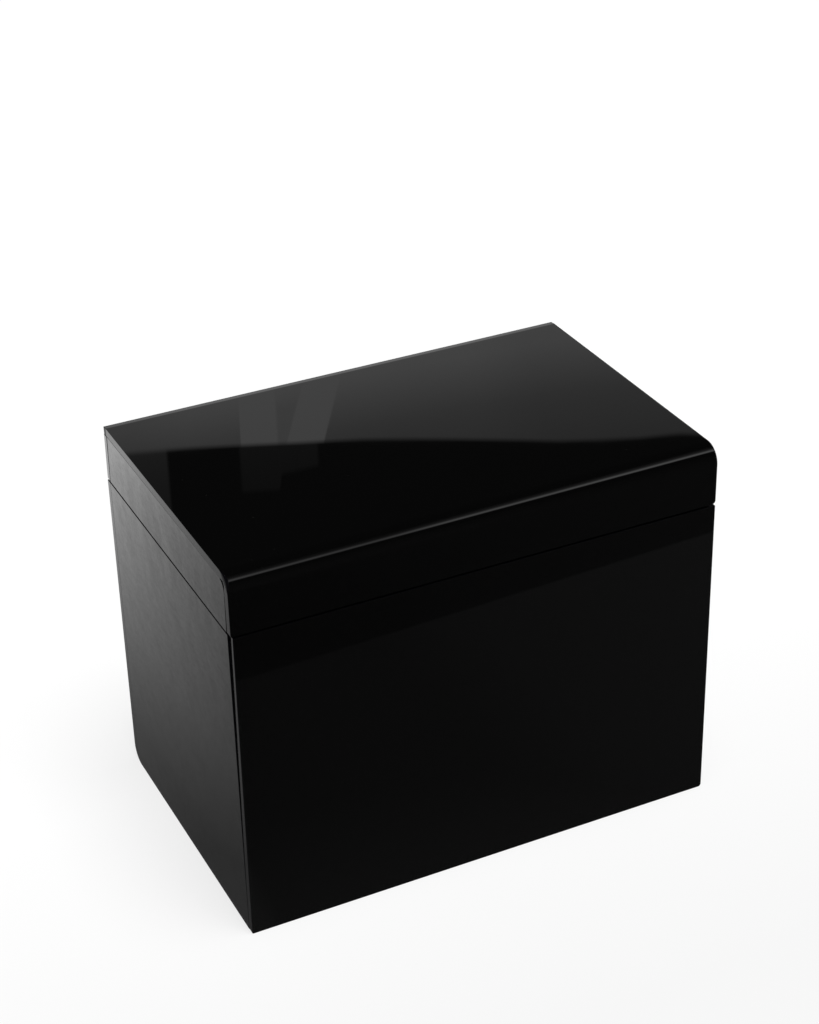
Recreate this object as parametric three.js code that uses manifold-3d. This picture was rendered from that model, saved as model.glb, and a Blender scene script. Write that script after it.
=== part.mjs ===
// A black acrylic storage box with a lid hinged along its back.
// Two sheets are heat-bent: one is the bottom and the back, the other is the lid's top and front flange.
// Flat panels are set in between and cemented, and two butt hinges are bolted through the back walls.
// Millimetres. X runs along the width, Y from front to back, Z up from the middle of the underside.
import * as THREE from "three";
import { mergeVertices, toCreasedNormals } from "three/addons/utils/BufferGeometryUtils.js";
import Module from "manifold-3d";

const wasm = await Module();
wasm.setup();

// The box
const width = 310;
const depth = 200;
const baseHeight = 207.3;
const lidHeight = 37.4;
const restGap = 0.3; // air between the two rims while the lid is shut

// The sheet and its edges
const sheet = 5;
const bendInside = 6; // inner radius of a heat bend
const rimRound = 0.5; // eased arrises of the rims and of the front's foot
const cornerRound = 2; // lower corners of the front panel and of the flange, seen from the front
const arrisRound = 0.8; // eased arris along the back of the lid's top
const endRound = 0.4; // eased arrises of the sawn ends that show on the sides
const cementLine = 0.1; // cement between glued faces

// The hinges
const hingeInset = 60; // from the end of the box to the middle of a hinge
const hingeLength = 40;
const knuckleCount = 5;
const knuckleGap = 0.3; // between a knuckle and the other leaf
const leafThickness = 1.5;
const leafReach = 18; // from the pin's axis to the far edge of a leaf
const leafCorner = 2.5;
const leafSeat = 0.1; // between a leaf and the wall that it is bolted to
const pinRadius = 1.4;
const pinClearance = 0.1;
const pinTip = 0.7; // how far the domed tips of a pin stand out

// The screws and domed nuts
const screwInset = 8; // from the end of a leaf to its nearest screw
const screwFromAxis = 11;
const screwRadius = 1.5;
const screwHole = 0.15; // clearance round a screw in a leaf or a wall
const headRadius = 2.75;
const headRim = 0.15; // straight rim above the head's cone
const headSink = 0.05; // how far a head lies below the leaf's face
const tipChamfer = 0.4;
const nutSides = 6;
const nutAcross = 5.5; // across the flats
const nutHex = 2.6; // height of the hexagon
const nutHeight = 5.5;
const nutSeat = 0.1; // between a nut and the wall
const nutReach = 3.4; // how far a screw reaches into its nut
const nutBore = 0.08; // clearance round a screw in its nut
const nutFloor = 0.4; // room left past the tip of a screw

// Steps of the round forms
const bendSteps = 4;
const barrelSteps = 10;
const turnSteps = 16;
const endSteps = 2;
const domeSteps = 4;
const overshoot = 1; // how far a cutting tool runs past what it cuts

// Places that follow from the sizes
const front = -depth / 2;
const back = depth / 2;
const seam = baseHeight + restGap;
const top = seam + lidHeight;
const bendOutside = bendInside + sheet;
const inFront = front + sheet + cementLine;
const inBack = back - sheet - cementLine;
const barrelRadius = pinRadius + pinClearance + leafThickness;
const axisY = back + leafSeat + barrelRadius;
const axisZ = baseHeight + restGap / 2;
const hingeX = width / 2 - hingeInset;
const leafFace = back + leafSeat + leafThickness;
const screwSpacing = hingeLength - 2 * screwInset;
const coneDepth = headRadius - screwRadius; // a right-angled countersink
const screwLength = leafThickness - headSink + leafSeat + sheet + nutSeat + nutReach;

// Finishes
const blackAcrylic = new THREE.MeshStandardMaterial({ color: 0x0b0b0c, roughness: 0.05, metalness: 0 });
const satinSteel = new THREE.MeshStandardMaterial({ color: 0xb4b6b8, roughness: 0.35, metalness: 1 });

// A closed outline through corners [u, v, radius], each turned by an arc of its own radius.
function outline(corners) {
  const points = corners.map(([u, v]) => new THREE.Vector2(u, v));
  const shape = new THREE.Shape();
  corners.forEach(([u, v, radius], i) => {
    if (!radius) {
      if (i) shape.lineTo(u, v);
      else shape.moveTo(u, v);
      return;
    }
    const corner = points[i];
    const before = points.at(i - 1).clone().sub(corner).normalize();
    const after = points[(i + 1) % points.length].clone().sub(corner).normalize();
    const half = Math.acos(before.dot(after)) / 2;
    const middle = before.clone().add(after).setLength(radius / Math.sin(half));
    const centre = middle.add(corner);
    const start = before.clone().multiplyScalar(radius / Math.tan(half)).add(corner);
    const end = after.clone().multiplyScalar(radius / Math.tan(half)).add(corner);
    const clockwise = before.cross(after) > 0;
    if (i) shape.lineTo(start.x, start.y);
    shape.absarc(centre.x, centre.y, radius, start.sub(centre).angle(), end.sub(centre).angle(), clockwise);
  });
  shape.closePath();
  return shape;
}

// Carries an outline along local z, centred on it, with a small round at both ends.
function carried(shape, length, round = 0, curveSegments = bendSteps) {
  const straight = length - 2 * round;
  const geometry = new THREE.ExtrudeGeometry(shape, {
    depth: straight,
    bevelEnabled: round > 0,
    bevelThickness: round,
    bevelSize: round,
    bevelOffset: -round,
    bevelSegments: endSteps,
    curveSegments,
  });
  return geometry.translate(0, 0, -straight / 2);
}

// An outline drawn in (y, z) and carried along X, and one drawn in (x, z) and carried along Y.
const xAxis = new THREE.Vector3(1, 0, 0);
const yAxis = new THREE.Vector3(0, 1, 0);
const zAxis = new THREE.Vector3(0, 0, 1);
const turnToX = new THREE.Matrix4().makeBasis(yAxis, zAxis, xAxis);
const turnToY = new THREE.Matrix4().makeBasis(xAxis, zAxis, yAxis.clone().negate());

// A closed geometry as a solid that can be joined and cut, and the way back.
const weld = 1e-4;
function solid(geometry) {
  const bare = new THREE.BufferGeometry();
  const loose = geometry.index ? geometry.toNonIndexed() : geometry;
  bare.setAttribute("position", loose.getAttribute("position"));
  const merged = mergeVertices(bare, weld);
  const vertProperties = merged.getAttribute("position").array;
  const triVerts = new Uint32Array(merged.index.array);
  return new wasm.Manifold(new wasm.Mesh({ numProp: 3, vertProperties, triVerts }));
}

const crease = Math.PI / 6;
function surface(made) {
  const { vertProperties, triVerts } = made.getMesh();
  const geometry = new THREE.BufferGeometry();
  geometry.setAttribute("position", new THREE.BufferAttribute(vertProperties, 3));
  geometry.setIndex(new THREE.BufferAttribute(triVerts, 1));
  return toCreasedNormals(geometry, crease);
}

// Every screw's place: which hinge, which body it bolts, and its x and z.
const sides = { left: -1, right: 1 };
const halves = { base: -1, lid: 1 };
function screwPlaces(half) {
  return Object.entries(sides).flatMap(([side, sign]) =>
    [-1, 1].map((end, i) => ({
      name: `${side}_hinge_${half}`,
      number: i + 1,
      x: sign * hingeX + (end * screwSpacing) / 2,
      z: axisZ + halves[half] * screwFromAxis,
    })),
  );
}

// A sheet's outline in (y, z) carried across the width.
function wideSheet(corners) {
  return solid(carried(outline(corners), width, endRound).applyMatrix4(turnToX));
}

// A back wall drilled for the screws of the base's or the lid's leaves.
function drilled(wall, half) {
  const radius = screwRadius + screwHole;
  return screwPlaces(half).reduce((made, { x, z }) => {
    const drill = new THREE.CylinderGeometry(radius, radius, sheet + 2 * overshoot, turnSteps);
    return made.subtract(solid(drill.translate(x, back - sheet / 2, z)));
  }, wall);
}

// A sheet trimmed to a view from the front with rounded lower corners, which lie at the height foot.
function cornersRounded(sheetSolid, foot) {
  const view = outline([
    [-width / 2, foot, cornerRound],
    [width / 2, foot, cornerRound],
    [width / 2, top + overshoot, 0],
    [-width / 2, top + overshoot, 0],
  ]);
  const cutter = carried(view, depth + 2 * overshoot).applyMatrix4(turnToY);
  return sheetSolid.intersect(solid(cutter));
}

// A side panel, centred on X: a bar with the rim's rounds along Y, cut to the panel's side view.
function sidePanel(sideView, rimView) {
  const bar = solid(carried(outline(rimView), depth).applyMatrix4(turnToY));
  const cutter = solid(carried(outline(sideView), 2 * sheet).applyMatrix4(turnToX));
  return surface(bar.intersect(cutter));
}

// The bottom and back in one sheet, bent at the back.
function baseBentSheet() {
  const bent = wideSheet([
    [back, baseHeight, rimRound],
    [back - sheet, baseHeight, rimRound],
    [back - sheet, sheet, bendInside],
    [inFront, sheet, 0],
    [inFront, 0, 0],
    [back, 0, bendOutside],
  ]);
  return surface(drilled(bent, "base"));
}

function baseFrontPanel() {
  const panel = wideSheet([
    [front, baseHeight, rimRound],
    [front, 0, rimRound],
    [front + sheet, 0, 0],
    [front + sheet, baseHeight, rimRound],
  ]);
  return surface(cornersRounded(panel, 0));
}

function baseSidePanel() {
  return sidePanel(
    [
      [inFront, baseHeight + overshoot, 0],
      [inFront, sheet + cementLine, 0],
      [inBack, sheet + cementLine, bendInside - cementLine],
      [inBack, baseHeight + overshoot, 0],
    ],
    [
      [-sheet / 2, baseHeight, rimRound],
      [-sheet / 2, 0, 0],
      [sheet / 2, 0, 0],
      [sheet / 2, baseHeight, rimRound],
    ],
  );
}

// The lid's top and front flange in one sheet, bent at the front.
function lidBentSheet() {
  const bent = wideSheet([
    [back, top, arrisRound],
    [front, top, bendOutside],
    [front, seam, rimRound],
    [front + sheet, seam, rimRound],
    [front + sheet, top - sheet, bendInside],
    [back, top - sheet, 0],
  ]);
  return surface(cornersRounded(bent, seam));
}

function lidBackPanel() {
  const panel = wideSheet([
    [back, seam, rimRound],
    [back, top - sheet - cementLine, 0],
    [back - sheet, top - sheet - cementLine, 0],
    [back - sheet, seam, rimRound],
  ]);
  return surface(drilled(panel, "lid"));
}

function lidSidePanel() {
  return sidePanel(
    [
      [inFront, seam - overshoot, 0],
      [inBack, seam - overshoot, 0],
      [inBack, top - sheet - cementLine, 0],
      [inFront, top - sheet - cementLine, bendInside - cementLine],
    ],
    [
      [-sheet / 2, seam, rimRound],
      [sheet / 2, seam, rimRound],
      [sheet / 2, top, 0],
      [-sheet / 2, top, 0],
    ],
  );
}

// A countersunk screw's profile on the Y axis, head up with its face at y = 0, made wider for its hole.
function screwProfile(clearance, aboveFace, chamfer) {
  const shank = screwRadius + clearance;
  return [
    [0, -screwLength],
    [shank - chamfer, -screwLength],
    [shank, chamfer - screwLength],
    [shank, -headRim - coneDepth],
    [headRadius + clearance, -headRim],
    [headRadius + clearance, aboveFace],
    [0, aboveFace],
  ].map(([r, y]) => new THREE.Vector2(r, y));
}

// One leaf about its pin's axis, hanging down: a plate, and rolled knuckles at every other place.
function hingeLeaf(firstKnuckle) {
  const plateTop = -barrelRadius - knuckleGap;
  const plate = outline([
    [-hingeLength / 2, plateTop, 0],
    [-hingeLength / 2, -leafReach, leafCorner],
    [hingeLength / 2, -leafReach, leafCorner],
    [hingeLength / 2, plateTop, 0],
  ]);
  const plateMiddle = leafThickness / 2 - barrelRadius;
  let made = solid(carried(plate, leafThickness).applyMatrix4(turnToY).translate(0, plateMiddle, 0));

  // The sheet runs up the wall, once round the pin and back to its own outer face.
  const rolled = new THREE.Shape();
  const outerFace = leafThickness - barrelRadius;
  const meets = Math.acos(outerFace / barrelRadius);
  rolled.moveTo(outerFace, plateTop - overshoot);
  rolled.lineTo(outerFace, -barrelRadius * Math.sin(meets));
  rolled.absarc(0, 0, barrelRadius, -meets, Math.PI, false);
  rolled.lineTo(-barrelRadius, plateTop - overshoot);
  rolled.closePath();
  const bore = new THREE.Path();
  bore.absarc(0, 0, pinRadius + pinClearance, 0, 2 * Math.PI, false);
  rolled.holes.push(bore);
  const pitch = hingeLength / knuckleCount;
  for (let i = firstKnuckle; i < knuckleCount; i += 2) {
    const knuckle = carried(rolled, pitch - knuckleGap, 0, barrelSteps).applyMatrix4(turnToX);
    made = made.add(solid(knuckle.translate((i + 0.5) * pitch - hingeLength / 2, 0, 0)));
  }

  for (const end of [-1, 1]) {
    const hole = new THREE.LatheGeometry(screwProfile(screwHole, overshoot, 0), turnSteps);
    const headFace = leafThickness - barrelRadius - headSink;
    made = made.subtract(solid(hole.translate((end * screwSpacing) / 2, headFace, -screwFromAxis)));
  }
  return surface(made);
}

// A pin along Y with a shallow dome at each tip.
function hingePin() {
  const half = hingeLength / 2;
  const tip = [];
  for (let i = 0; i <= domeSteps; i++) {
    const angle = (i / domeSteps) * (Math.PI / 2);
    tip.push(new THREE.Vector2(pinRadius * Math.cos(angle), half + pinTip * Math.sin(angle)));
  }
  tip.at(-1).x = 0;
  const foot = tip.map(({ x, y }) => new THREE.Vector2(x, -y)).reverse();
  return new THREE.LatheGeometry([...foot, ...tip], turnSteps);
}

function screw() {
  return new THREE.LatheGeometry(screwProfile(0, 0, tipChamfer), turnSteps);
}

// A domed nut on the Y axis, its seat at y = 0 and its dome pointing down, open at the seat.
function domedNut() {
  const corner = nutAcross / 2 / Math.cos(Math.PI / nutSides);
  const hexagon = new THREE.CylinderGeometry(corner, corner, nutHex, nutSides).translate(0, -nutHex / 2, 0);
  const domeRadius = nutAcross / 2;
  const dome = [];
  for (let i = 0; i <= domeSteps; i++) {
    const angle = (i / domeSteps) * (Math.PI / 2);
    const down = (nutHeight - nutHex) * Math.cos(angle);
    dome.push(new THREE.Vector2(domeRadius * Math.sin(angle), -nutHex - down));
  }
  dome.push(new THREE.Vector2(domeRadius, -nutHex / 2), new THREE.Vector2(0, -nutHex / 2));
  const boreDepth = nutReach + nutSeat + nutFloor;
  const boreRadius = screwRadius + nutBore;
  const bore = new THREE.CylinderGeometry(boreRadius, boreRadius, boreDepth + overshoot, turnSteps);
  bore.translate(0, (overshoot - boreDepth) / 2, 0);
  const made = solid(hexagon).add(solid(new THREE.LatheGeometry(dome, turnSteps)));
  return surface(made.subtract(solid(bore)));
}

// The box, with the lid in a group on the hinge axis: turning that group about -X opens it.
const box = new THREE.Group();
const base = new THREE.Group();
const lid = new THREE.Group();
lid.position.set(0, axisY, axisZ);
box.add(base, lid);

function piece(parent, name, geometry, material, x, y, z) {
  const mesh = new THREE.Mesh(geometry, material);
  mesh.name = name;
  mesh.position.set(x, y, z).sub(parent.position);
  parent.add(mesh);
  return mesh;
}

piece(base, "base_bent_sheet", baseBentSheet(), blackAcrylic, 0, 0, 0);
piece(base, "base_front_panel", baseFrontPanel(), blackAcrylic, 0, 0, 0);
piece(lid, "lid_bent_sheet", lidBentSheet(), blackAcrylic, 0, 0, 0);
piece(lid, "lid_back_panel", lidBackPanel(), blackAcrylic, 0, 0, 0);
for (const [side, sign] of Object.entries(sides)) {
  const x = sign * (width - sheet) / 2;
  piece(base, `base_${side}_panel`, baseSidePanel(), blackAcrylic, x, 0, 0);
  piece(lid, `lid_${side}_panel`, lidSidePanel(), blackAcrylic, x, 0, 0);

  piece(base, `${side}_hinge_base_leaf`, hingeLeaf(0), satinSteel, sign * hingeX, axisY, axisZ);
  const lidLeaf = piece(lid, `${side}_hinge_lid_leaf`, hingeLeaf(1), satinSteel, sign * hingeX, axisY, axisZ);
  lidLeaf.rotation.y = Math.PI;
  const pin = piece(base, `${side}_hinge_pin`, hingePin(), satinSteel, sign * hingeX, axisY, axisZ);
  pin.rotation.z = Math.PI / 2;
}
for (const [half, parent] of Object.entries({ base, lid })) {
  for (const { name, number, x, z } of screwPlaces(half)) {
    piece(parent, `${name}_screw_${number}`, screw(), satinSteel, x, leafFace - headSink, z);
    piece(parent, `${name}_nut_${number}`, domedNut(), satinSteel, x, back - sheet - nutSeat, z);
  }
}

export default box;
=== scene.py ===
# %% [markdown]
# # A black acrylic storage box with a hinged lid
# The box is cut from 5 mm sheets of cast acrylic. Two sheets are bent over a hot wire, the others stay
# flat, and solvent cement joins them. Its solids come in as a fixed frame that is never moved. This lesson
# makes every sheet again as a smooth surface, gives each piece its finish, and sets up a white studio
# round it.

# %% The frame
import math

import bpy
import numpy as np
from mathutils import Matrix, Vector


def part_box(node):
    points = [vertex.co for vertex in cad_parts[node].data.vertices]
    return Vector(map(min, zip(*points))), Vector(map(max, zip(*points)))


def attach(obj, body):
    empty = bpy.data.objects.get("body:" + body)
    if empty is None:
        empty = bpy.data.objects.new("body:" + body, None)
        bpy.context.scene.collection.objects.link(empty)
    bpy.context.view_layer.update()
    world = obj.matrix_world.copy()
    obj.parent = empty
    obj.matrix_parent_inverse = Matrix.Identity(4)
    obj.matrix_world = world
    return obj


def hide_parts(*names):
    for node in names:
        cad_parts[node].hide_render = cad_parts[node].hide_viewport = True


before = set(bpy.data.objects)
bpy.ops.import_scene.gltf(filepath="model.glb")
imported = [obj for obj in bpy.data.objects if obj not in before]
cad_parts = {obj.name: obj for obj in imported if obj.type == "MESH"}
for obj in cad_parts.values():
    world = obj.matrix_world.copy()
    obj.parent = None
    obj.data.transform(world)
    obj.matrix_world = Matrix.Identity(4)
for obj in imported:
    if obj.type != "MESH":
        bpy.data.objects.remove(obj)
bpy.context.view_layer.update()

# %% [markdown]
# The frame's own boxes give the sizes, so nothing here is measured twice. A side panel is one sheet thick,
# the front panel says where the front is, and the lid's lowest point is the seam.

# %% Sizes from the frame
MM = 0.001
base_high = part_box("base_bent_sheet")[1]
lid_low, lid_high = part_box("lid_bent_sheet")
front_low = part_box("base_front_panel")[0]
side_low, side_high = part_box("base_left_panel")
lid_side_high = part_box("lid_left_panel")[1]
HALF = base_high.x
FRONT, BACK = front_low.y, base_high.y
RIM, SEAM, TOP = base_high.z, lid_low.z, lid_high.z
SHEET = side_high.x - side_low.x
HALF_SHEET = SHEET / 2
INSIDE_FRONT, INSIDE_BACK = side_low.y, side_high.y
FLOOR_TOP, CEILING = side_low.z, lid_side_high.z
print(f"box {2 * HALF / MM:.1f} x {(BACK - FRONT) / MM:.1f} x {TOP / MM:.1f} mm, sheet {SHEET / MM:.1f} mm")

# %% [markdown]
# A sheet, flat or bent, is a ribbon: a line down its middle with the same thickness to either side,
# carried straight across the box. The line's corners are turned by arcs, which is what a hot wire does to
# the sheet. A Solidify modifier on a bent plane could do this too, but arrays keep both skins of the bend
# concentric.

# %% The middle line of a sheet
TURN_STEPS = 16
SAME_POINT = 1e-7


def middle_line(corners):
    """Points and tangents along a line through corners (u, v, radius).

    A corner with a radius becomes an arc of points start + radius * (side at its start - side at the point),
    where side is the unit vector from the arc to its centre, so the arc touches both of its edges.
    """
    spots = np.array([corner[:2] for corner in corners], float)
    points, tangents = [], []
    for i, (spot, corner) in enumerate(zip(spots, corners)):
        into = spot - spots[i - 1] if i else spots[1] - spot
        out = spots[i + 1] - spot if i + 1 < len(spots) else into
        into, out = into / np.linalg.norm(into), out / np.linalg.norm(out)
        turn = math.atan2(into[0] * out[1] - into[1] * out[0], into @ out)
        heading = math.atan2(into[1], into[0]) + turn * np.linspace(0, 1, TURN_STEPS + 1 if corner[2] else 1)
        along = np.stack([np.cos(heading), np.sin(heading)], 1)
        side = np.stack([-along[:, 1], along[:, 0]], 1) * np.sign(turn)
        start = spot - into * corner[2] * math.tan(abs(turn) / 2)
        points.append(start + corner[2] * (side[0] - side))
        tangents.append(along)
    points, tangents = np.concatenate(points), np.concatenate(tangents)
    apart = np.linalg.norm(np.diff(points, axis=0), axis=1) > SAME_POINT
    keep = np.concatenate([[True], apart])
    return points[keep], tangents[keep]


print("a bend takes", TURN_STEPS + 1, "points")

# %% [markdown]
# The saw leaves a square edge that is then eased with a scraper and a flame, so every arris is a small
# quarter round. At the two rims of a sheet the rounds are part of its outline.

# %% The outline of a sheet
EASE_STEPS = 4
QUARTER = np.linspace(0, math.pi / 2, EASE_STEPS + 1)
LEAST_EASE = 0.01 * MM


def ribbon(corners, thickness, near_rim, far_rim, by=0.0):
    """The two skins of a sheet as one closed outline, drawn in by a length or by one for each place.

    Along the line a skin is point +- normal * half, with half = thickness / 2 - by. Round a rim it follows
    end + tangent * rim * (sin a - 1) +- normal * (half - rim * (1 - cos a)), where the rim is smaller by the
    same length. The right skin comes first, then the left one backwards.
    """
    points, tangents = middle_line(corners)
    normals = np.stack([-tangents[:, 1], tangents[:, 0]], 1)
    reach, sink = 1 - np.sin(QUARTER), 1 - np.cos(QUARTER)
    ends = len(QUARTER)
    facing = np.concatenate([normals[[0] * ends], normals[1:-1], normals[[-1] * ends]])
    by = np.broadcast_to(by, len(facing))
    near, far = max(near_rim - by[0], LEAST_EASE), max(far_rim - by[-1], LEAST_EASE)
    first = points[0] + tangents[0] * (by[0] + near * reach[::-1, None])
    last = points[-1] - tangents[-1] * (by[-1] + far * reach[:, None])
    middle = np.concatenate([first, points[1:-1], last])
    half = thickness / 2 - by
    half[:ends] -= near * sink[::-1]
    half[-ends:] -= far * sink
    away = facing * half[:, None]
    return np.concatenate([middle - away, (middle + away)[::-1]])


print("an eased arris takes", EASE_STEPS + 1, "points")

# %% [markdown]
# Carrying the outline across the box gives the sheet its third direction. At the two ends the arris comes
# from drawing the outline in a little while it is carried the last part of a millimetre, and more of it
# where the heat has rounded one end of a bend. The faces that the saw cut are marked, because they get a
# finish of their own.

# %% Carrying the outline across


def carried(sheet, low, high, ease, bend_ease=0.0):
    """A closed sheet: the outline (u, v) of ribbon(*sheet) carried along w from low to high.

    A row at angle a lies ease * (1 - sin a) inside its end and is drawn in by ease * (1 - cos a). At the
    low end, where the sheet has turned by an angle b, the ease is larger by bend_ease * sin(2 * b) ** 2.
    Both ends may differ by the point. Returns the points (u, v, w), the faces, and which faces are sawn.
    """
    outline = ribbon(*sheet)
    count = len(outline)
    pairs = count // 2
    across = outline[:pairs] - outline[:pairs - 1:-1]
    across /= np.linalg.norm(across, axis=1, keepdims=True)
    low_ease = ease + bend_ease * (2 * across.prod(1)) ** 2
    inside = np.concatenate([low_ease, low_ease[::-1]])
    low, high = np.broadcast_to(low, count), np.broadcast_to(high, count)
    rows = [(low + inside * (1 - math.sin(a)), low_ease * (1 - math.cos(a))) for a in QUARTER[::-1]]
    rows += [(high - ease * (1 - math.sin(a)), ease * (1 - math.cos(a))) for a in QUARTER]
    points = np.concatenate([np.column_stack([ribbon(*sheet, by), w]) for w, by in rows])

    k = np.arange(count)
    loop = np.stack([k, np.roll(k, -1), np.roll(k, -1) + count, k + count], 1)
    sides = (loop[None] + count * np.arange(len(rows) - 1)[:, None, None]).reshape(-1, 4)
    i = np.arange(pairs - 1)
    far_cap = np.stack([i, i + 1, count - 2 - i, count - 1 - i], 1) + count * (len(rows) - 1)
    near_cap = (far_cap - count * (len(rows) - 1))[:, ::-1]

    pair = np.minimum(k, count - 1 - k)
    near_rim = np.maximum(pair, np.roll(pair, -1)) <= EASE_STEPS
    far_rim = np.minimum(pair, np.roll(pair, -1)) >= pairs - 1 - EASE_STEPS
    sawn = np.ones((len(rows) - 1, count), bool)
    sawn[EASE_STEPS] = near_rim | far_rim
    sawn = np.concatenate([sawn.ravel(), np.ones(2 * len(i), bool)])
    return points, np.concatenate([sides, near_cap, far_cap]), sawn


print("a sheet is carried in", 2 * (EASE_STEPS + 1), "rows")

# %% [markdown]
# Arrays become a mesh with from_pydata. A Weighted Normal modifier lets the large flat faces keep their
# flat shading, so the narrow rounds beside them catch the light like real polished edges. Each piece is
# put on the body it rides on, and the solid of the frame that it stands for is hidden.

# %% From arrays to a piece
ACROSS = (1, 2, 0)
BACKWARDS = (2, 0, 1)
SMOOTH_BELOW = math.radians(40)


def piece(name, points, faces, finishes, finish_of_face=None):
    """A mesh object from an array of points and rows of corner numbers, smooth but for its sharp edges."""
    mesh = bpy.data.meshes.new(name)
    mesh.from_pydata(points.tolist(), [], [list(face) for face in faces])
    for finish in finishes:
        mesh.materials.append(finish)
    if finish_of_face is not None:
        mesh.polygons.foreach_set("material_index", np.asarray(finish_of_face, np.int32))
    mesh.shade_smooth()
    mesh.set_sharp_from_angle(angle=SMOOTH_BELOW)
    made = bpy.data.objects.new(name, mesh)
    bpy.context.scene.collection.objects.link(made)
    weighted = made.modifiers.new("flat faces stay flat", "WEIGHTED_NORMAL")
    weighted.keep_sharp = True
    return made


def fit(made, body, node):
    """Puts a piece on its body in place of a solid of the frame."""
    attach(made, body)
    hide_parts(node)
    size = " x ".join(f"{side / MM:.1f}" for side in made.dimensions)
    print(f"{made.name}: {size} mm, {len(made.data.polygons)} faces, on {body}")


def in_frame(points, axes):
    """Points (u, v, w) as (x, y, z), where axes says which of x, y and z each of u, v and w is."""
    placed = np.empty_like(points)
    placed[:, axes] = points
    return placed


print("smooth where faces meet at less than", round(math.degrees(SMOOTH_BELOW)), "degrees")

# %% [markdown]
# A finish starts from what the material is. Its colours are written as hex values, as a picture editor
# shows them, and one function turns them into the linear values that the renderer wants. A second one adds
# a node with its settings and links, so that a finish reads as a list of its nodes.

# %% Colours and nodes


def linear(code):
    """A hex colour as linear RGBA: c / 12.92 up to 0.04045, and ((c + 0.055) / 1.055) ** 2.4 above."""
    srgb = np.array([int(code[i:i + 2], 16) for i in (1, 3, 5)]) / 255
    light = np.where(srgb <= 0.04045, srgb / 12.92, ((srgb + 0.055) / 1.055) ** 2.4)
    return (*light, 1.0)


def add(tree, kind, inputs=None, **settings):
    """Adds a node with its settings. An input is a value, an output to link, or a node for its first output."""
    made = tree.nodes.new("ShaderNode" + kind)
    for name, value in settings.items():
        setattr(made, name, value)
    for socket, value in (inputs or {}).items():
        if isinstance(value, bpy.types.Node):
            tree.links.new(value.outputs[0], made.inputs[socket])
        elif isinstance(value, bpy.types.NodeSocket):
            tree.links.new(value, made.inputs[socket])
        else:
            made.inputs[socket].default_value = value
    return made


def blank(name):
    """A new material and its empty node tree."""
    made = bpy.data.materials.new(name)
    made.use_nodes = True
    made.node_tree.nodes.clear()
    return made, made.node_tree


ACRYLIC_BLACK = "#040404"
print("polished black is", [round(c, 4) for c in linear(ACRYLIC_BLACK)[:3]], "in linear light")

# %% [markdown]
# Cast acrylic is poured between glass plates, so its skin is as glossy as glass, with an IOR of 1.49. What
# tells it from a perfect mirror is a slow waviness from plate to plate, a faint orange peel, wiping marks
# that dull the gloss in streaks, a patchy film, rubbed out lengthways, that takes a little off the
# reflection, and specks of dust. The side panels come from a wavier plate than the others.

# %% Cast acrylic
ACRYLIC_IOR = 1.49
PLAIN_SHINE = 0.5
PEEL = 3 * MM
WIPE = 30 * MM
WIPE_STRETCH = (0.35, 1.0, 1.0)
WIPE_TURN = (0.0, 0.0, 0.5)
WIPE_FROM, WIPE_TO = 0.3, 0.75
LEAST_HAZE, MOST_HAZE = 0.006, 0.02
FILM = 2.2 * MM
FILM_STRETCH = (1.0, 0.4, 1.0)
FILM_FROM, FILM_TO = 0.25, 0.75
DUST_GREY = "#3c3b39"
DUST_SPACING = 9 * MM
DUST_SIZE = 0.2 * MM
DUST_SHARE = DUST_SIZE / DUST_SPACING
DUST_CORE = 0.5
DUST_HAZE = 0.5


def cast_acrylic(name, wave_length, wave_height, peel_height, film_share):
    """Black cast acrylic: its waves and peel turn the normal, its film and wiping marks change the gloss."""
    made, tree = blank(name)
    place = add(tree, "TexCoord").outputs["Object"]
    wave = add(tree, "TexNoise", {"Vector": place, "Scale": 1 / wave_length, "Detail": 1.0})
    peel = add(tree, "TexNoise", {"Vector": place, "Scale": 1 / PEEL, "Detail": 2.0})
    wiped = add(tree, "Mapping", {"Vector": place, "Scale": WIPE_STRETCH, "Rotation": WIPE_TURN})
    wipe = add(tree, "TexNoise", {"Vector": wiped, "Scale": 1 / WIPE, "Detail": 4.0})
    haze = add(tree, "MapRange", {"Value": wipe, "From Min": WIPE_FROM, "From Max": WIPE_TO,
                                  "To Min": LEAST_HAZE, "To Max": MOST_HAZE})
    rubbed = add(tree, "Mapping", {"Vector": place, "Scale": FILM_STRETCH})
    film = add(tree, "TexNoise", {"Vector": rubbed, "Scale": 1 / FILM, "Detail": 5.0, "Roughness": 0.7})
    shine = add(tree, "MapRange", {"Value": film, "From Min": FILM_FROM, "From Max": FILM_TO,
                                   "To Min": PLAIN_SHINE * (1 + film_share),
                                   "To Max": PLAIN_SHINE * (1 - film_share)})
    dust = add(tree, "TexVoronoi", {"Vector": place, "Scale": 1 / DUST_SPACING})
    speck = add(tree, "MapRange", {"Value": dust.outputs["Distance"], "From Min": DUST_CORE * DUST_SHARE,
                                   "From Max": DUST_SHARE, "To Min": 1.0, "To Max": 0.0})
    tint = add(tree, "Mix", {0: speck, 6: linear(ACRYLIC_BLACK), 7: linear(DUST_GREY)}, data_type="RGBA")
    dull = add(tree, "Math", {0: speck, 1: DUST_HAZE, 2: haze}, operation="MULTIPLY_ADD")
    waved = add(tree, "Bump", {"Height": wave, "Distance": wave_height})
    peeled = add(tree, "Bump", {"Height": peel, "Distance": peel_height, "Normal": waved})
    shader = add(tree, "BsdfPrincipled", {"Base Color": tint.outputs[2], "Roughness": dull,
                                          "Specular IOR Level": shine, "IOR": ACRYLIC_IOR,
                                          "Normal": peeled})
    add(tree, "OutputMaterial", {"Surface": shader})
    return made


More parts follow.
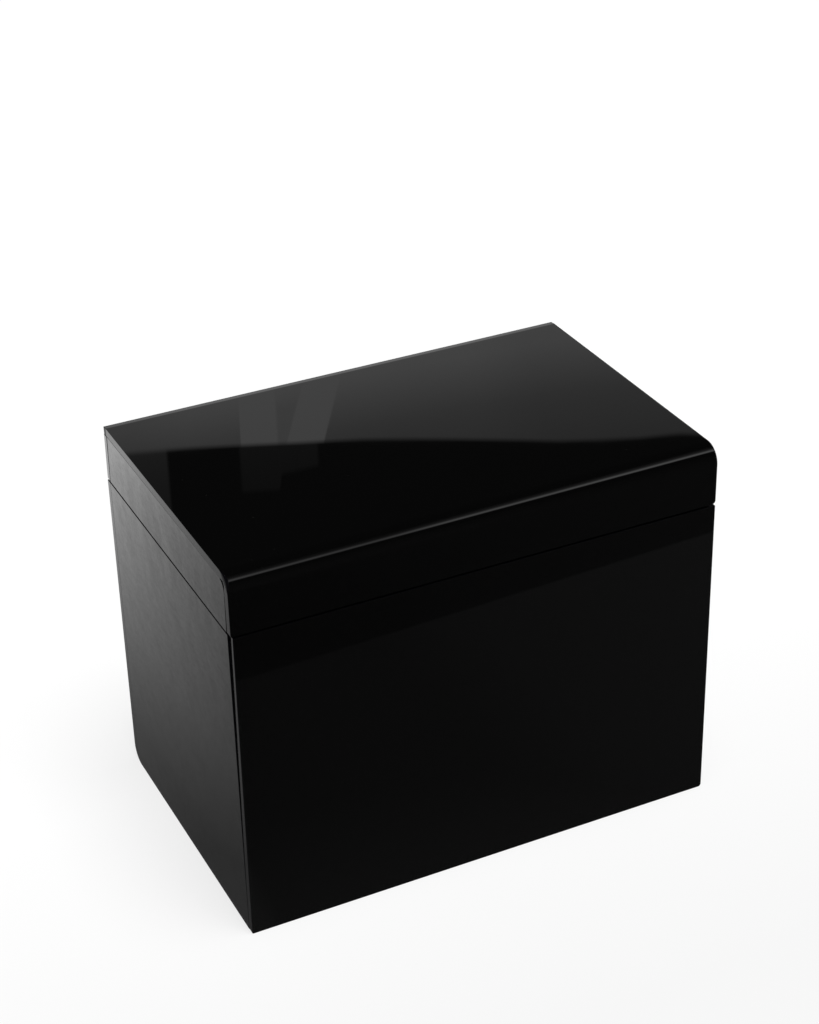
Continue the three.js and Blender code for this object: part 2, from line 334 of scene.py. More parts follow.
smooth_acrylic = cast_acrylic("cast acrylic, polished face", wave_length=70 * MM, wave_height=0.004 * MM,
                              peel_height=0.00003 * MM, film_share=0.03)
wavy_acrylic = cast_acrylic("cast acrylic, side panel face", wave_length=22 * MM, wave_height=0.2 * MM,
                            peel_height=0.03 * MM, film_share=0.5)
print("acrylic mirrors", round(100 * ((ACRYLIC_IOR - 1) / (ACRYLIC_IOR + 1)) ** 2, 1), "% straight on")

# %% [markdown]
# A sawn edge is scraped and then run past a flame, which melts it glossy again. Traces of the saw stay as
# fine ripples across the edge, so it is a little duller than the faces. The edges of the lid's bent sheet
# were only scraped before it went on the hot wire, so they mirror less. At the back of its top they are as
# the saw left them, which is matt and dark.

# %% Sawn edges
EDGE_BLACK = "#08080a"
SAW_RIPPLE = 1.2 * MM
RIPPLE_HEIGHT = 0.002 * MM


def acrylic_edge(name, shine, least_haze, most_haze):
    """A sawn edge: one noise makes its ripples and its haze, and the shine says how much it mirrors."""
    made, tree = blank(name)
    place = add(tree, "TexCoord").outputs["Object"]
    ripple = add(tree, "TexNoise", {"Vector": place, "Scale": 1 / SAW_RIPPLE, "Detail": 2.0})
    rippled = add(tree, "Bump", {"Height": ripple, "Distance": RIPPLE_HEIGHT})
    haze = add(tree, "MapRange", {"Value": ripple, "To Min": least_haze, "To Max": most_haze})
    shader = add(tree, "BsdfPrincipled", {"Base Color": linear(EDGE_BLACK), "Roughness": haze,
                                          "Specular IOR Level": shine, "IOR": ACRYLIC_IOR,
                                          "Normal": rippled})
    add(tree, "OutputMaterial", {"Surface": shader})
    return made


flamed_edge = acrylic_edge("acrylic edge, flame-polished", PLAIN_SHINE, least_haze=0.05, most_haze=0.14)
scraped_edge = acrylic_edge("acrylic edge, scraped", shine=0.23, least_haze=0.08, most_haze=0.2)
sawn_edge = acrylic_edge("acrylic edge, as sawn", shine=0.12, least_haze=0.35, most_haze=0.5)
print("edge finishes:", ", ".join(edge.name for edge in (flamed_edge, scraped_edge, sawn_edge)))

# %% [markdown]
# On the real box the seam isn't quite level or tight: it rises by almost two millimetres from front to
# back, and base and lid stay back from it by half a millimetre. A shear does that: a point's height
# follows the seam by its share of the way there, so the bottom and the top stay where they are.

# %% The seam
SEAM_SHOWS = 0.5 * MM
BASE_RIM, LID_RIM = RIM - SEAM_SHOWS, SEAM + SEAM_SHOWS
SEAM_AT_FRONT, SEAM_AT_BACK = -0.5 * MM, 1.3 * MM


def to_seam(points, still):
    """Points with rise * (z - still) / (SEAM - still) added to z, with the seam's rise at their depth."""
    rise = np.interp(points[:, 1], [FRONT, BACK], [SEAM_AT_FRONT, SEAM_AT_BACK])
    placed = points.copy()
    placed[:, 2] += rise * (points[:, 2] - still) / (SEAM - still)
    return placed


print(f"seam: {(LID_RIM - BASE_RIM) / MM:.1f} mm wide")

# %% [markdown]
# The base's bottom and back are one sheet. Its middle line starts behind the front panel, runs along the
# bottom, turns up at the back with the bend's radius, and ends at the rim.

# %% Base: bottom and back
BEND_INSIDE = 6 * MM
BEND = BEND_INSIDE + HALF_SHEET
RIM_EASE = 0.08 * MM
END_EASE = 0.15 * MM
JOINT_EASE = 0.1 * MM
ACRYLIC = [smooth_acrylic, flamed_edge]

back_middle = BACK - HALF_SHEET
line = [(INSIDE_FRONT, HALF_SHEET, 0), (back_middle, HALF_SHEET, BEND), (back_middle, BASE_RIM, 0)]
points, faces, sawn = carried((line, SHEET, JOINT_EASE, RIM_EASE), -HALF, HALF, END_EASE)
points = to_seam(in_frame(points, ACROSS), 0)
bottom_and_back = piece("base_bottom_and_back", points, faces, ACRYLIC, sawn)
fit(bottom_and_back, "base", "base_bent_sheet")

# %% [markdown]
# Where a sheet's corner is rounded off, or nests in the round of a bend, its end isn't straight: near the
# corner it follows a circle. The line needs a few points there, closer together towards the corner.

# %% Rounded corners
ROUND_POINTS = 12
CLEAR_OF_EASE = 1.2


def drawn_back(height, radius):
    """How far a round draws an end back: radius - sqrt(radius ** 2 - (radius - height) ** 2), 0 above it."""
    above = np.clip(radius - height, 0, radius)
    return radius - np.sqrt(radius ** 2 - above ** 2)


def round_heights(radius, ease):
    """Heights radius * (1 - cos a) along a round at even angles a, without those that the ease reaches."""
    heights = radius * (1 - np.cos(np.linspace(0, math.pi / 2, ROUND_POINTS)))
    return heights[heights > CLEAR_OF_EASE * ease]


print("a round of 2 mm is drawn back", [round(v, 2) for v in drawn_back(np.array([0, 0.5, 1, 2]), 2)], "mm")

# %% [markdown]
# The front panel covers the front edges of the sides and the bottom, and its lower corners are rounded
# off. Its left end was sawn by hand. The cut drifts in towards the rim, which bares a dark wedge of the
# side panel's edge, with the end itself bright beside it.

# %% Base: front panel
LEFT_FOOT, RIGHT_FOOT = 0.9 * MM, 2.2 * MM
PANEL_EASE = 0.35 * MM
CUT_AT_RIM = 1.1 * MM
CUT_DRIFT = 2.2

front_middle = FRONT + HALF_SHEET
line = [(front_middle, BASE_RIM, 0)]
line += [(front_middle, height, 0) for height in round_heights(RIGHT_FOOT, PANEL_EASE)[::-1]]
line += [(front_middle, 0, 0)]
sheet = (line, SHEET, RIM_EASE, PANEL_EASE)
height = ribbon(*sheet)[:, 1]
drift = CUT_AT_RIM * (height / BASE_RIM) ** CUT_DRIFT
left, right = drawn_back(height, LEFT_FOOT), drawn_back(height, RIGHT_FOOT)
points, faces, sawn = carried(sheet, -HALF + left + drift, HALF - right, PANEL_EASE)
front_panel = piece("base_front", to_seam(in_frame(points, ACROSS), 0), faces, ACRYLIC, sawn)
fit(front_panel, "base", "base_front_panel")

# %% [markdown]
# A side panel is a flat ribbon that runs up from the bottom and is carried from front to back. At the foot
# its back end follows the inside of the bend, so it nests in the bent sheet as the real one does.

# %% Base: side panels
NEST = BEND_INSIDE - (FLOOR_TOP - SHEET)
SIDE_ACRYLIC = [wavy_acrylic, flamed_edge]
SIDES = (("left", -1), ("right", 1))
nest_rise = round_heights(NEST, END_EASE)

for side, sign in SIDES:
    x = sign * (HALF - HALF_SHEET)
    line = [(FLOOR_TOP, x, 0)] + [(FLOOR_TOP + rise, x, 0) for rise in nest_rise] + [(BASE_RIM, x, 0)]
    sheet = (line, SHEET, JOINT_EASE, RIM_EASE)
    rise = ribbon(*sheet)[:, 0] - FLOOR_TOP
    points, faces, sawn = carried(sheet, INSIDE_FRONT, INSIDE_BACK - drawn_back(rise, NEST), END_EASE)
    points = to_seam(in_frame(points, BACKWARDS), 0)
    made = piece(f"base_{side}_side", points, faces, SIDE_ACRYLIC, sawn)
    fit(made, "base", f"base_{side}_panel")

# %% [markdown]
# The lid's top and its front flange are the other bent sheet. Its middle line starts at the back, where
# the flame let the last strip sag a little, which draws a light line along the edge. It runs along the
# top, turns down at the front and ends at the flange's rim, whose corners are rounded off too. Nobody
# scraped the ends of the sagging strip. The lid isn't quite square: going back, its left side leans in
# more and more.

# %% Lid: top and flange
SAG_STRIP = 4.4 * MM
SAG = 0.5 * MM
SAG_BEND = 2 * MM
LEFT_CORNER, RIGHT_CORNER = 0.8 * MM, 2.4 * MM
BEND_EASE = 2.1 * MM
LID_LEAN = 0.65 * MM


def leant(points, lean):
    """Points with lean * depth * rise added to x on the left, by their shares of the way back and up."""
    depth = (points[:, 1] - FRONT) / (BACK - FRONT)
    rise = (points[:, 2] - SEAM) / (TOP - SEAM)
    placed = points.copy()
    placed[:, 0] += lean * depth * rise * (points[:, 0] < 0)
    return placed


top_middle = TOP - HALF_SHEET
line = [(BACK - HALF_SHEET * SAG / SAG_STRIP, top_middle - SAG, 0), (BACK - SAG_STRIP, top_middle, SAG_BEND),
        (front_middle, top_middle, BEND)]
line += [(front_middle, LID_RIM + height, 0) for height in round_heights(RIGHT_CORNER, END_EASE)[::-1]]
line += [(front_middle, LID_RIM, 0)]
sheet = (line, SHEET, RIM_EASE, RIM_EASE)
height = ribbon(*sheet)[:, 1] - LID_RIM
left, right = drawn_back(height, LEFT_CORNER), drawn_back(height, RIGHT_CORNER)
points, faces, sawn = carried(sheet, -HALF + left, HALF - right, END_EASE, BEND_EASE)
points = leant(to_seam(in_frame(points, ACROSS), TOP), LID_LEAN)
on_strip = points[faces].mean(1)[:, 1] > BACK - SAG_STRIP
finishes = [smooth_acrylic, scraped_edge, sawn_edge]
finish_of_face = np.where(sawn & on_strip, finishes.index(sawn_edge), sawn)
top_and_flange = piece("lid_top_and_flange", points, faces, finishes, finish_of_face)
fit(top_and_flange, "lid", "lid_bent_sheet")

# %% [markdown]
# Under the top come three flat panels: the back, which the hinges are bolted to, and two sides that nest
# in the bend at the front, upside down compared with the base. They nest less closely than in the base,
# and their joint with the flange opens towards the rim, so it shows as a dark line. So does their joint
# with the back, whose ends aren't quite square.

# %% Lid: back and side panels
LOOSER_BY = 1.0 * MM
LID_NEST = NEST + LOOSER_BY
LID_JOINT_EASE = 0.35 * MM
JOINT_AT_RIM = 1.0 * MM
JOINT_AT_BACK = 0.5 * MM
BACK_OUT_OF_SQUARE = 0.15 * MM
BACK_LEAN = 0.45 * MM
lid_rise = round_heights(LID_NEST, LID_JOINT_EASE)

line = [(back_middle, LID_RIM, 0), (back_middle, CEILING - SAG, 0)]
sheet = (line, SHEET, RIM_EASE, JOINT_EASE)
short = BACK_OUT_OF_SQUARE * (1 - (BACK - ribbon(*sheet)[:, 0]) / SHEET)
points, faces, sawn = carried(sheet, -HALF + short, HALF - short, END_EASE)
points = leant(to_seam(in_frame(points, ACROSS), TOP), BACK_LEAN)
lid_back = piece("lid_back", points, faces, ACRYLIC, sawn)
fit(lid_back, "lid", "lid_back_panel")

for side, sign in SIDES:
    x = sign * (HALF - HALF_SHEET)
    line = [(LID_RIM, x, 0)] + [(CEILING - rise, x, 0) for rise in lid_rise[::-1]] + [(CEILING, x, 0)]
    sheet = (line, SHEET, RIM_EASE, LID_JOINT_EASE)
    fall = CEILING - ribbon(*sheet)[:, 0]
    from_front = drawn_back(fall, LID_NEST) + JOINT_AT_RIM * fall / (CEILING - LID_RIM)
    points, faces, sawn = carried(sheet, INSIDE_FRONT + from_front, INSIDE_BACK - JOINT_AT_BACK, END_EASE)
    points = leant(to_seam(in_frame(points, BACKWARDS), TOP), LID_LEAN)
    made = piece(f"lid_{side}_side", points, faces, SIDE_ACRYLIC, sawn)
    fit(made, "lid", f"lid_{side}_panel")

# %% [markdown]
# The hinges, screws and nuts are stainless steel with a satin finish: an abrasive belt leaves fine lines
# along the length, which blur the reflections sideways more than lengthways.

# %% Satin stainless steel
STEEL_DARK, STEEL_LIGHT = "#a9abad", "#d2d3d4"
BELT_LINE = 0.4 * MM
BELT_STRETCH = (0.03, 1.0, 1.0)
BELT_DEPTH = 0.004 * MM
SATIN_LEAST, SATIN_MOST = 0.24, 0.42

steel, tree = blank("satin stainless steel")
place = add(tree, "TexCoord").outputs["Object"]
stretched = add(tree, "Mapping", {"Vector": place, "Scale": BELT_STRETCH})
lines = add(tree, "TexNoise", {"Vector": stretched, "Scale": 1 / BELT_LINE, "Detail": 3.0})
tint = add(tree, "Mix", {0: lines, 6: linear(STEEL_DARK), 7: linear(STEEL_LIGHT)}, data_type="RGBA")
satin = add(tree, "MapRange", {"Value": lines, "To Min": SATIN_LEAST, "To Max": SATIN_MOST})
brushed = add(tree, "Bump", {"Height": lines, "Distance": BELT_DEPTH})
shader = add(tree, "BsdfPrincipled", {"Base Color": tint.outputs[2], "Metallic": 1.0,
                                      "Roughness": satin, "Normal": brushed})
add(tree, "OutputMaterial", {"Surface": shader})
print("steel finish:", steel.name)

# %% [markdown]
# A butt hinge is stamped from strip. Tongues along one edge are rolled round the pin, and the tongues of
# the two leaves take turns. The frame's boxes give the hinge's sizes, and everything is placed about its
# pin.

# %% Hinge: sizes
leaf_low, leaf_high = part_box("left_hinge_base_leaf")
pin_low, pin_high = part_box("left_hinge_pin")
screw_low, screw_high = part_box("left_hinge_base_screw_1")
nut_low, nut_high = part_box("left_hinge_base_nut_1")
AXIS_Y, AXIS_Z = (pin_low.y + pin_high.y) / 2, (pin_low.z + pin_high.z) / 2
PIN = (pin_high.z - pin_low.z) / 2
BARREL = leaf_high.y - AXIS_Y
LENGTH = leaf_high.x - leaf_low.x
REACH = AXIS_Z - leaf_low.z
HEAD = (screw_high.x - screw_low.x) / 2
SHANK = 1.5 * MM
LEAF = 1.5 * MM
LEAF_CORNER = 2.5 * MM
LEAF_BACK, LEAF_FACE = -BARREL, LEAF - BARREL
PLATE_ROOM = 0.3 * MM
PLATE_FROM = BARREL + PLATE_ROOM
HOLE_X = abs((screw_low.x + screw_high.x) / 2 - (leaf_low.x + leaf_high.x) / 2)
HOLE_Z = (screw_low.z + screw_high.z) / 2 - AXIS_Z
print(f"hinge: {LENGTH / MM:.1f} mm long, barrel radius {BARREL / MM:.1f} mm, pin radius {PIN / MM:.1f} mm")

# %% [markdown]
# A screw hole is easiest as a patch of its own: rows of points that start as circles round the hole,
# spread to the patch's border and come back underneath. Two such patches make a plate. A Boolean could
# drill the hole, but these rows keep clean quads round it.

# %% Hinge: plate
STEEL_EASE = 0.12 * MM
HOLE_ROOM = 0.15 * MM
BORDER_STEPS = 96


def drawn_in(outline, by):
    """The outline moved inwards: a point goes by / (1 + n . m) along n + m, the normals of its two edges."""
    edges = np.roll(outline, -1, 0) - outline
    edges /= np.linalg.norm(edges, axis=1, keepdims=True)
    after = np.stack([edges[:, 1], -edges[:, 0]], 1)
    before = np.roll(after, 1, 0)
    miter = (before + after) / (1 + (before * after).sum(1, keepdims=True))
    return outline - by * miter


def grid_faces(rows, count, closed):
    """Quads of a grid of rows that close on themselves, and of a last row joined to the first if closed."""
    k, i = np.meshgrid(np.arange(rows if closed else rows - 1), np.arange(count), indexing="ij")
    k, i = k.ravel(), i.ravel()
    after, beside = (k + 1) % rows, (i + 1) % count
    return np.stack([k * count + i, k * count + beside, after * count + beside, after * count + i], 1)


def drilled_half():
    """Half a plate in (z, x, y): circles round the hole, then its border drawn in by the ease on both faces.

    A circle is centre + radius * (cos t, sin t), with t the angle of the border's point from the centre.
    """
    chain, _ = middle_line([(-REACH, 0, 0), (-PLATE_FROM, 0, 0), (-PLATE_FROM, LENGTH / 2, 0),
                            (-REACH, LENGTH / 2, LEAF_CORNER), (-REACH, 0, 0)])
    along = np.concatenate([[0], np.cumsum(np.linalg.norm(np.diff(chain, axis=0), axis=1))])
    stops = np.union1d(np.linspace(0, along[-1], BORDER_STEPS), along)[:-1]
    border = np.stack([np.interp(stops, along, chain[:, 0]), np.interp(stops, along, chain[:, 1])], 1)
    centre = np.array([HOLE_Z, HOLE_X])
    t = np.arctan2(border[:, 1] - centre[1], border[:, 0] - centre[0])
    ring = np.stack([np.cos(t), np.sin(t)], 1)
    rows = [(centre + (SHANK + HOLE_ROOM) * ring, LEAF_BACK),
            (centre + (SHANK + HOLE_ROOM) * ring, LEAF_FACE - HEAD + SHANK),
            (centre + (HEAD + HOLE_ROOM) * ring, LEAF_FACE)]
    for angles, sign, level in ((QUARTER[::-1], -1, LEAF_FACE), (QUARTER, 1, LEAF_BACK)):
        for a in angles:
            eased = drawn_in(border, STEEL_EASE * (1 - math.cos(a)))
            eased[:, 1] = np.where(border[:, 1] == 0, 0, eased[:, 1])
            rows.append((eased, level + sign * STEEL_EASE * (1 - math.sin(a))))
    points = np.concatenate([np.column_stack([flat, np.full(len(flat), y)]) for flat, y in rows])
    return in_frame(points, BACKWARDS), grid_faces(len(rows), len(border), True)[:, ::-1]


half_points, half_faces = drilled_half()
print("half a plate:", len(half_points), "points")

# %% [markdown]
# The rolled tongues are ribbons again. The line runs up the plate and three times round a corner whose
# radius is as long as the way to it, which makes a circle about the pin. The other half of a plate is the
# first one mirrored, with its faces turned round so that they keep pointing outwards. The lid's leaf is
# turned by half a turn.

# %% Hinge: leaves
KNUCKLES = 5
KNUCKLE_GAP = 0.3 * MM
ROLL_END = 0.2 * MM
HIDDEN_EASE = STEEL_EASE / 4
MIRROR = np.array([-1.0, 1.0, 1.0])
NO_TURN = np.array([1.0, 1.0, 1.0])
HALF_TURN = np.array([-1.0, 1.0, -1.0])


def joined(parts):
    """Several (points, faces) as one."""
    counts = np.cumsum([0] + [len(points) for points, _ in parts])
    faces = [np.asarray(faces) + start for (_, faces), start in zip(parts, counts)]
    return np.concatenate([points for points, _ in parts]), np.concatenate(faces)


def leaf(first):
    """A leaf about its pin: two drilled halves, and tongues at every other place from the first."""
    roll = BARREL - LEAF / 2
    line = [(-roll, -PLATE_FROM, 0), (-roll, roll, roll), (roll, roll, roll), (roll, -roll, roll),
            (LEAF_FACE + ROLL_END, -roll, 0)]
    pitch = LENGTH / KNUCKLES
    parts = [(half_points, half_faces), (half_points * MIRROR, half_faces[:, ::-1])]
    for i in range(first, KNUCKLES, 2):
        start = i * pitch - LENGTH / 2 + KNUCKLE_GAP / 2
        end = start + pitch - KNUCKLE_GAP
        points, faces, _ = carried((line, LEAF, HIDDEN_EASE, STEEL_EASE), start, end, STEEL_EASE)
        parts.append((in_frame(points, ACROSS), faces))
    return joined(parts)


hinge_x = {}
for side in ("left", "right"):
    low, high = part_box(f"{side}_hinge_pin")
    hinge_x[side] = (low.x + high.x) / 2
    axis = np.array([hinge_x[side], AXIS_Y, AXIS_Z])
    for body, first, way in (("base", 0, NO_TURN), ("lid", 1, HALF_TURN)):
        points, faces = leaf(first)
        made = piece(f"{side}_{body}_leaf", points * way + axis, faces, [steel])
        fit(made, body, f"{side}_hinge_{body}_leaf")

# %% [markdown]
# Pins, screws and nuts come off a lathe, so each is a profile turned about its axis. A profile's radius
# and height may also change with the angle: that gives the cross in a screw's head and the six flats of a
# nut.

# %% Hinge: pins
TURN_POINTS = 96
PIN_ROUND = 0.6 * MM
turn = np.linspace(0, 2 * math.pi, TURN_POINTS, endpoint=False)


def turned_part(rows):
    """A closed surface about an axis: rows of (radius, height), each a number or a value for every angle."""
    rings = [np.column_stack([radius * np.cos(turn), radius * np.sin(turn),
                              np.broadcast_to(height, TURN_POINTS)]) for radius, height in rows]
    faces = [list(face) for face in grid_faces(len(rows), TURN_POINTS, False)]
    faces.append(list(range(TURN_POINTS))[::-1])
    faces.append(list(range((len(rows) - 1) * TURN_POINTS, len(rows) * TURN_POINTS)))
    return np.concatenate(rings), faces


pin_half = (pin_high.x - pin_low.x) / 2
pin_rows = [(PIN - PIN_ROUND * (1 - math.cos(a)), pin_half - PIN_ROUND * (1 - math.sin(a))) for a in QUARTER]
pin_rows = [(radius, -height) for radius, height in pin_rows[::-1]] + pin_rows
for side, x in hinge_x.items():
    points, faces = turned_part(pin_rows)
    made = piece(f"{side}_pin", in_frame(points, ACROSS) + np.array([x, AXIS_Y, AXIS_Z]), faces, [steel])
    fit(made, "base", f"{side}_hinge_pin")

# %% [markdown]
# The screws are countersunk, with a plain cross in the head. The cross is pressed into rows of rings
# across the head: a ring's point sinks where it lies within the width of an arm and not past its end.

# %% Hinge: profile of a screw
CROSS_WIDTH = 0.42 * MM
CROSS_LENGTH = 1.5 * MM
CROSS_DEPTH = 0.9 * MM
CROSS_SLOPE = 0.12 * MM
CROSS_END_SLOPE = 3 * CROSS_SLOPE
CROSS_TAPER = 0.5
HEAD_RIM = 0.12 * MM
RIM_IN, RIM_DOWN = 0.3 * HEAD_RIM, 0.1 * HEAD_RIM
HEAD_FLAT, HEAD_MIDDLE = 0.75 * HEAD, 0.02 * HEAD
HEAD_RINGS = 36
TIP = 0.4 * MM


def sunk(radius):
    """Depth of the cross along a ring: its full depth times three shares, each from 0 to 1.

    They are (width - beside) / slope, (length - ahead) / end slope and 1 - taper * ahead / length, where a
    point lies beside an arm's middle line and ahead along it.
    """
    x, y = np.abs(radius * np.cos(turn)), np.abs(radius * np.sin(turn))
    beside, ahead = np.minimum(x, y), np.maximum(x, y)
    in_width = np.clip((CROSS_WIDTH - beside) / CROSS_SLOPE, 0, 1)
    in_length = np.clip((CROSS_LENGTH - ahead) / CROSS_END_SLOPE, 0, 1)
    return CROSS_DEPTH * in_width * in_length * (1 - CROSS_TAPER * ahead / CROSS_LENGTH)


screw_rows = [(SHANK - TIP, screw_low.y), (SHANK, screw_low.y + TIP),
              (SHANK, screw_high.y - HEAD_RIM - (HEAD - SHANK)), (HEAD, screw_high.y - HEAD_RIM),
              (HEAD - RIM_IN, screw_high.y - RIM_DOWN), (HEAD - HEAD_RIM, screw_high.y)]
screw_rows += [(r, screw_high.y - sunk(r)) for r in np.linspace(HEAD_FLAT, HEAD_MIDDLE, HEAD_RINGS)]
print("screw:", len(screw_rows), "rows")

# %% [markdown]
# A domed nut covers the screw's end inside the box. Its six flats come from a radius that grows from the
# middle of a flat to the next corner, and where the chamfer cuts the corners off the rim dips.

# %% Hinge: screws and nuts
NUT_HEX = 2.6 * MM
BORE_ROOM = 0.08 * MM
BORE = SHANK + BORE_ROOM
BORE_DEPTH = 3.9 * MM
CHAMFER = math.radians(30)
FLAT_LEAST = 0.05 * MM
DOME_WIDTH, SHOULDER_WIDTH, SEAT_WIDTH = 0.94, 0.99, 0.97
DOME_FROM, DOME_ROWS = 0.04, 14
ONE_FLAT = math.pi / 3

across = min(nut_high.x - nut_low.x, nut_high.z - nut_low.z) / 2
six = across / np.cos(turn % ONE_FLAT - ONE_FLAT / 2)
slope = (six - across) * math.tan(CHAMFER)
hex_top = nut_high.y - NUT_HEX
dome = np.linspace(DOME_FROM, math.pi / 2, DOME_ROWS)
nut_rows = [(DOME_WIDTH * across * math.sin(a), hex_top - (hex_top - nut_low.y) * math.cos(a)) for a in dome]
nut_rows += [(SHOULDER_WIDTH * across, hex_top), (six, hex_top + slope),
             (six, nut_high.y - slope - FLAT_LEAST), (SEAT_WIDTH * across, nut_high.y),
             (BORE, nut_high.y), (BORE, nut_high.y - BORE_DEPTH)]
print("nut:", len(nut_rows), "rows")

for name in sorted(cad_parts):
    if "_screw_" in name or "_nut_" in name:
        low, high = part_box(name)
        points, faces = turned_part(screw_rows if "_screw_" in name else nut_rows)
        centre = np.array([(low.x + high.x) / 2, 0, (low.z + high.z) / 2])
        made = piece(name.replace("_hinge", ""), in_frame(points, BACKWARDS) + centre, faces, [steel])
        fit(made, "lid" if "_lid_" in name else "base", name)

# %% [markdown]
# A black mirror shows its surroundings more than itself, so the studio decides how it looks. A colour ramp
# turns a position into a brightness, which is how the paper and the room get their gradients.

# %% Gradients


def gradient(tree, value, stops, low=0.0, high=1.0):
    """Brightness through (position, brightness) stops, where a position is a value's share from low to high.

    The first stop is at 0 and the last at 1.
    """
    position = add(tree, "MapRange", {"Value": value, "From Min": low, "From Max": high})
    made = add(tree, "ValToRGB", {0: position})
    elements = made.color_ramp.elements
    for position, _ in stops[1:-1]:
        elements.new(position)
    for element, (position, brightness) in zip(elements, stops):
        element.position = position
        element.color = (brightness, brightness, brightness, 1)
    return made


def product(tree, first, *others):
    """Values multiplied one after another."""
    for other in others:
        first = add(tree, "Math", {0: first, 1: other}, operation="MULTIPLY")
    return first


print("gradients are kept between 0 and 1, and products scale them")

# %% [markdown]
# White paper lies under the box. The camera sees it bright, while in the box's gloss it shows a painted
# glow that falls off towards the camera, as paper does that is lit from behind: by a factor of e every
# 21 cm, down to a dim level. Beside the box a painted shadow of the box darkens it, and gets lighter away
# from it. In front the table ends, at a slight slant.

# %% White paper: what the gloss shows
FALL_OFF = 0.21
PAPER_AT_BOX = 0.115
DIM_FROM, DIM_TO = -0.17, 0.36
DIM_LEVELS = ((0.0, 0.097), (0.047, 0.097), (0.085, 0.043), (0.415, 0.05), (0.547, 0.066), (1.0, 0.09))
BRIGHTEST = 1.3
SIDE_FROM, SIDE_TO = -0.31, -0.15
SIDE_BRIGHTEST = 1.25
PAINTED_SHADE_BESIDE = ((0.0, 0.76), (0.18, 0.77), (0.33, 0.89), (0.49, 0.98), (0.645, 1.0), (0.75, 0.90),
               (0.845, 0.81), (0.90, 0.72), (0.97, 0.72), (1.0, 0.80))
TABLE_EDGE = -0.3515
TABLE_EDGE_WIDTH = 2 * MM
EDGE_SLANT = 0.045
BEYOND_EDGE = 0.45

paper, tree = blank("white paper")
place = add(tree, "SeparateXYZ", {0: add(tree, "TexCoord").outputs["Object"]})
# Painted light: in the gloss the paper's glow grows by a factor of e every FALL_OFF towards the back.
steps = add(tree, "Math", {0: place.outputs["Y"], 1: FALL_OFF}, operation="DIVIDE")
growth = add(tree, "Math", {0: steps}, operation="EXPONENT")
# Painted shadow of the box on the paper beside it, lighter away from it.
beside = gradient(tree, place.outputs["X"], PAINTED_SHADE_BESIDE, SIDE_FROM, SIDE_TO)
lit = product(tree, growth, PAPER_AT_BOX * SIDE_BRIGHTEST, beside)
dim = gradient(tree, place.outputs["X"], DIM_LEVELS, DIM_FROM, DIM_TO)
level = add(tree, "Math", {0: lit, 1: dim}, operation="MAXIMUM")
capped = add(tree, "Math", {0: level, 1: BRIGHTEST}, operation="MINIMUM")
slanted = add(tree, "Math", {0: place.outputs["X"], 1: EDGE_SLANT, 2: place.outputs["Y"]},
              operation="MULTIPLY_ADD")
edge = add(tree, "MapRange", {"Value": slanted, "From Min": TABLE_EDGE - TABLE_EDGE_WIDTH,
                              "From Max": TABLE_EDGE, "To Min": BEYOND_EDGE, "To Max": 1.0})
mirrored = product(tree, capped, edge)
print("paper in the gloss:", len(tree.nodes), "nodes")

# %% [markdown]
# To the camera the paper is matt, and part of its brightness is light of its own, so the box's shadow on
# it is soft and pale. That own light is painted a little darker towards the camera, a painted fall-off of
# light. A Light Path node tells the two kinds of view apart.

# %% White paper: what the camera sees
PAPER_REACH = 6.0
OWN_LIGHT = 0.75
NEAR_LEVEL, FAR_LEVEL = 0.9, 1.0
NEAR_Y, FAR_Y = -0.25, 0.05

ray = add(tree, "LightPath").outputs
# Painted shade: the paper's own light falls a little towards the camera.
own = add(tree, "MapRange", {"Value": place.outputs["Y"], "From Min": NEAR_Y, "From Max": FAR_Y,
                             "To Min": NEAR_LEVEL, "To Max": FAR_LEVEL})
seen = add(tree, "Mix", {0: ray["Is Camera Ray"], 2: mirrored, 3: own}, data_type="FLOAT")
glow = add(tree, "Emission", {"Color": linear("#ffffff"), "Strength": seen})
matt = add(tree, "BsdfDiffuse", {"Color": linear("#f6f6f6")})
by_mirror = add(tree, "Math", {0: ray["Is Glossy Ray"], 1: ray["Is Transmission Ray"]}, operation="MAXIMUM")
share = add(tree, "Math", {0: ray["Is Camera Ray"], 1: OWN_LIGHT, 2: by_mirror},
            operation="MULTIPLY_ADD")
both = add(tree, "MixShader", {0: share, 1: matt, 2: glow})
add(tree, "OutputMaterial", {"Surface": both})

corner = np.array([-1, 1]) * PAPER_REACH
x, y = np.meshgrid(corner, corner)
points = np.stack([x.ravel(), y.ravel(), np.zeros(x.size)], 1)
ground = piece("paper", points, [[0, 1, 3, 2]], [paper])
print("paper:", 2 * PAPER_REACH, "m square")

# %% [markdown]
# Behind the box the gloss shows a white wall that gets darker upwards and towards its ends, with two pale
# sheets hung before it, the second one aslant. Where a sheet hangs is its bearing, the ratio of X to Y.

# %% The room: wall
WALL_TILT = (0.157, 0.0, 1.0)
WALL_LEVELS = ((0.0, 1.0), (0.40, 0.60), (0.50, 0.45), (0.521, 0.25), (0.54, 0.20), (1.0, 0.05))
WALL_LEFT, WALL_RIGHT = 0.25, 0.48
WALL_ENDS = ((0.0, 0.8), (0.06, 0.82), (0.16, 0.97), (0.25, 1.0), (0.70, 1.0), (0.80, 0.9), (1.0, 0.9))
BEARING_FROM, BEARING_TO = 0.30, 0.45
FIRST_SHEET = ((0.0, 0.0), (0.478, 0.0), (0.488, 0.475), (0.626, 0.475), (0.634, 0.39), (0.74, 0.39),
               (0.75, 0.0), (1.0, 0.0))
SECOND_SHEET = ((0.0, 0.0), (0.69, 0.0), (0.70, 0.47), (0.845, 0.465), (0.855, 0.0), (1.0, 0.0))
LEAN = 0.46
LEAN_ABOUT = 0.457

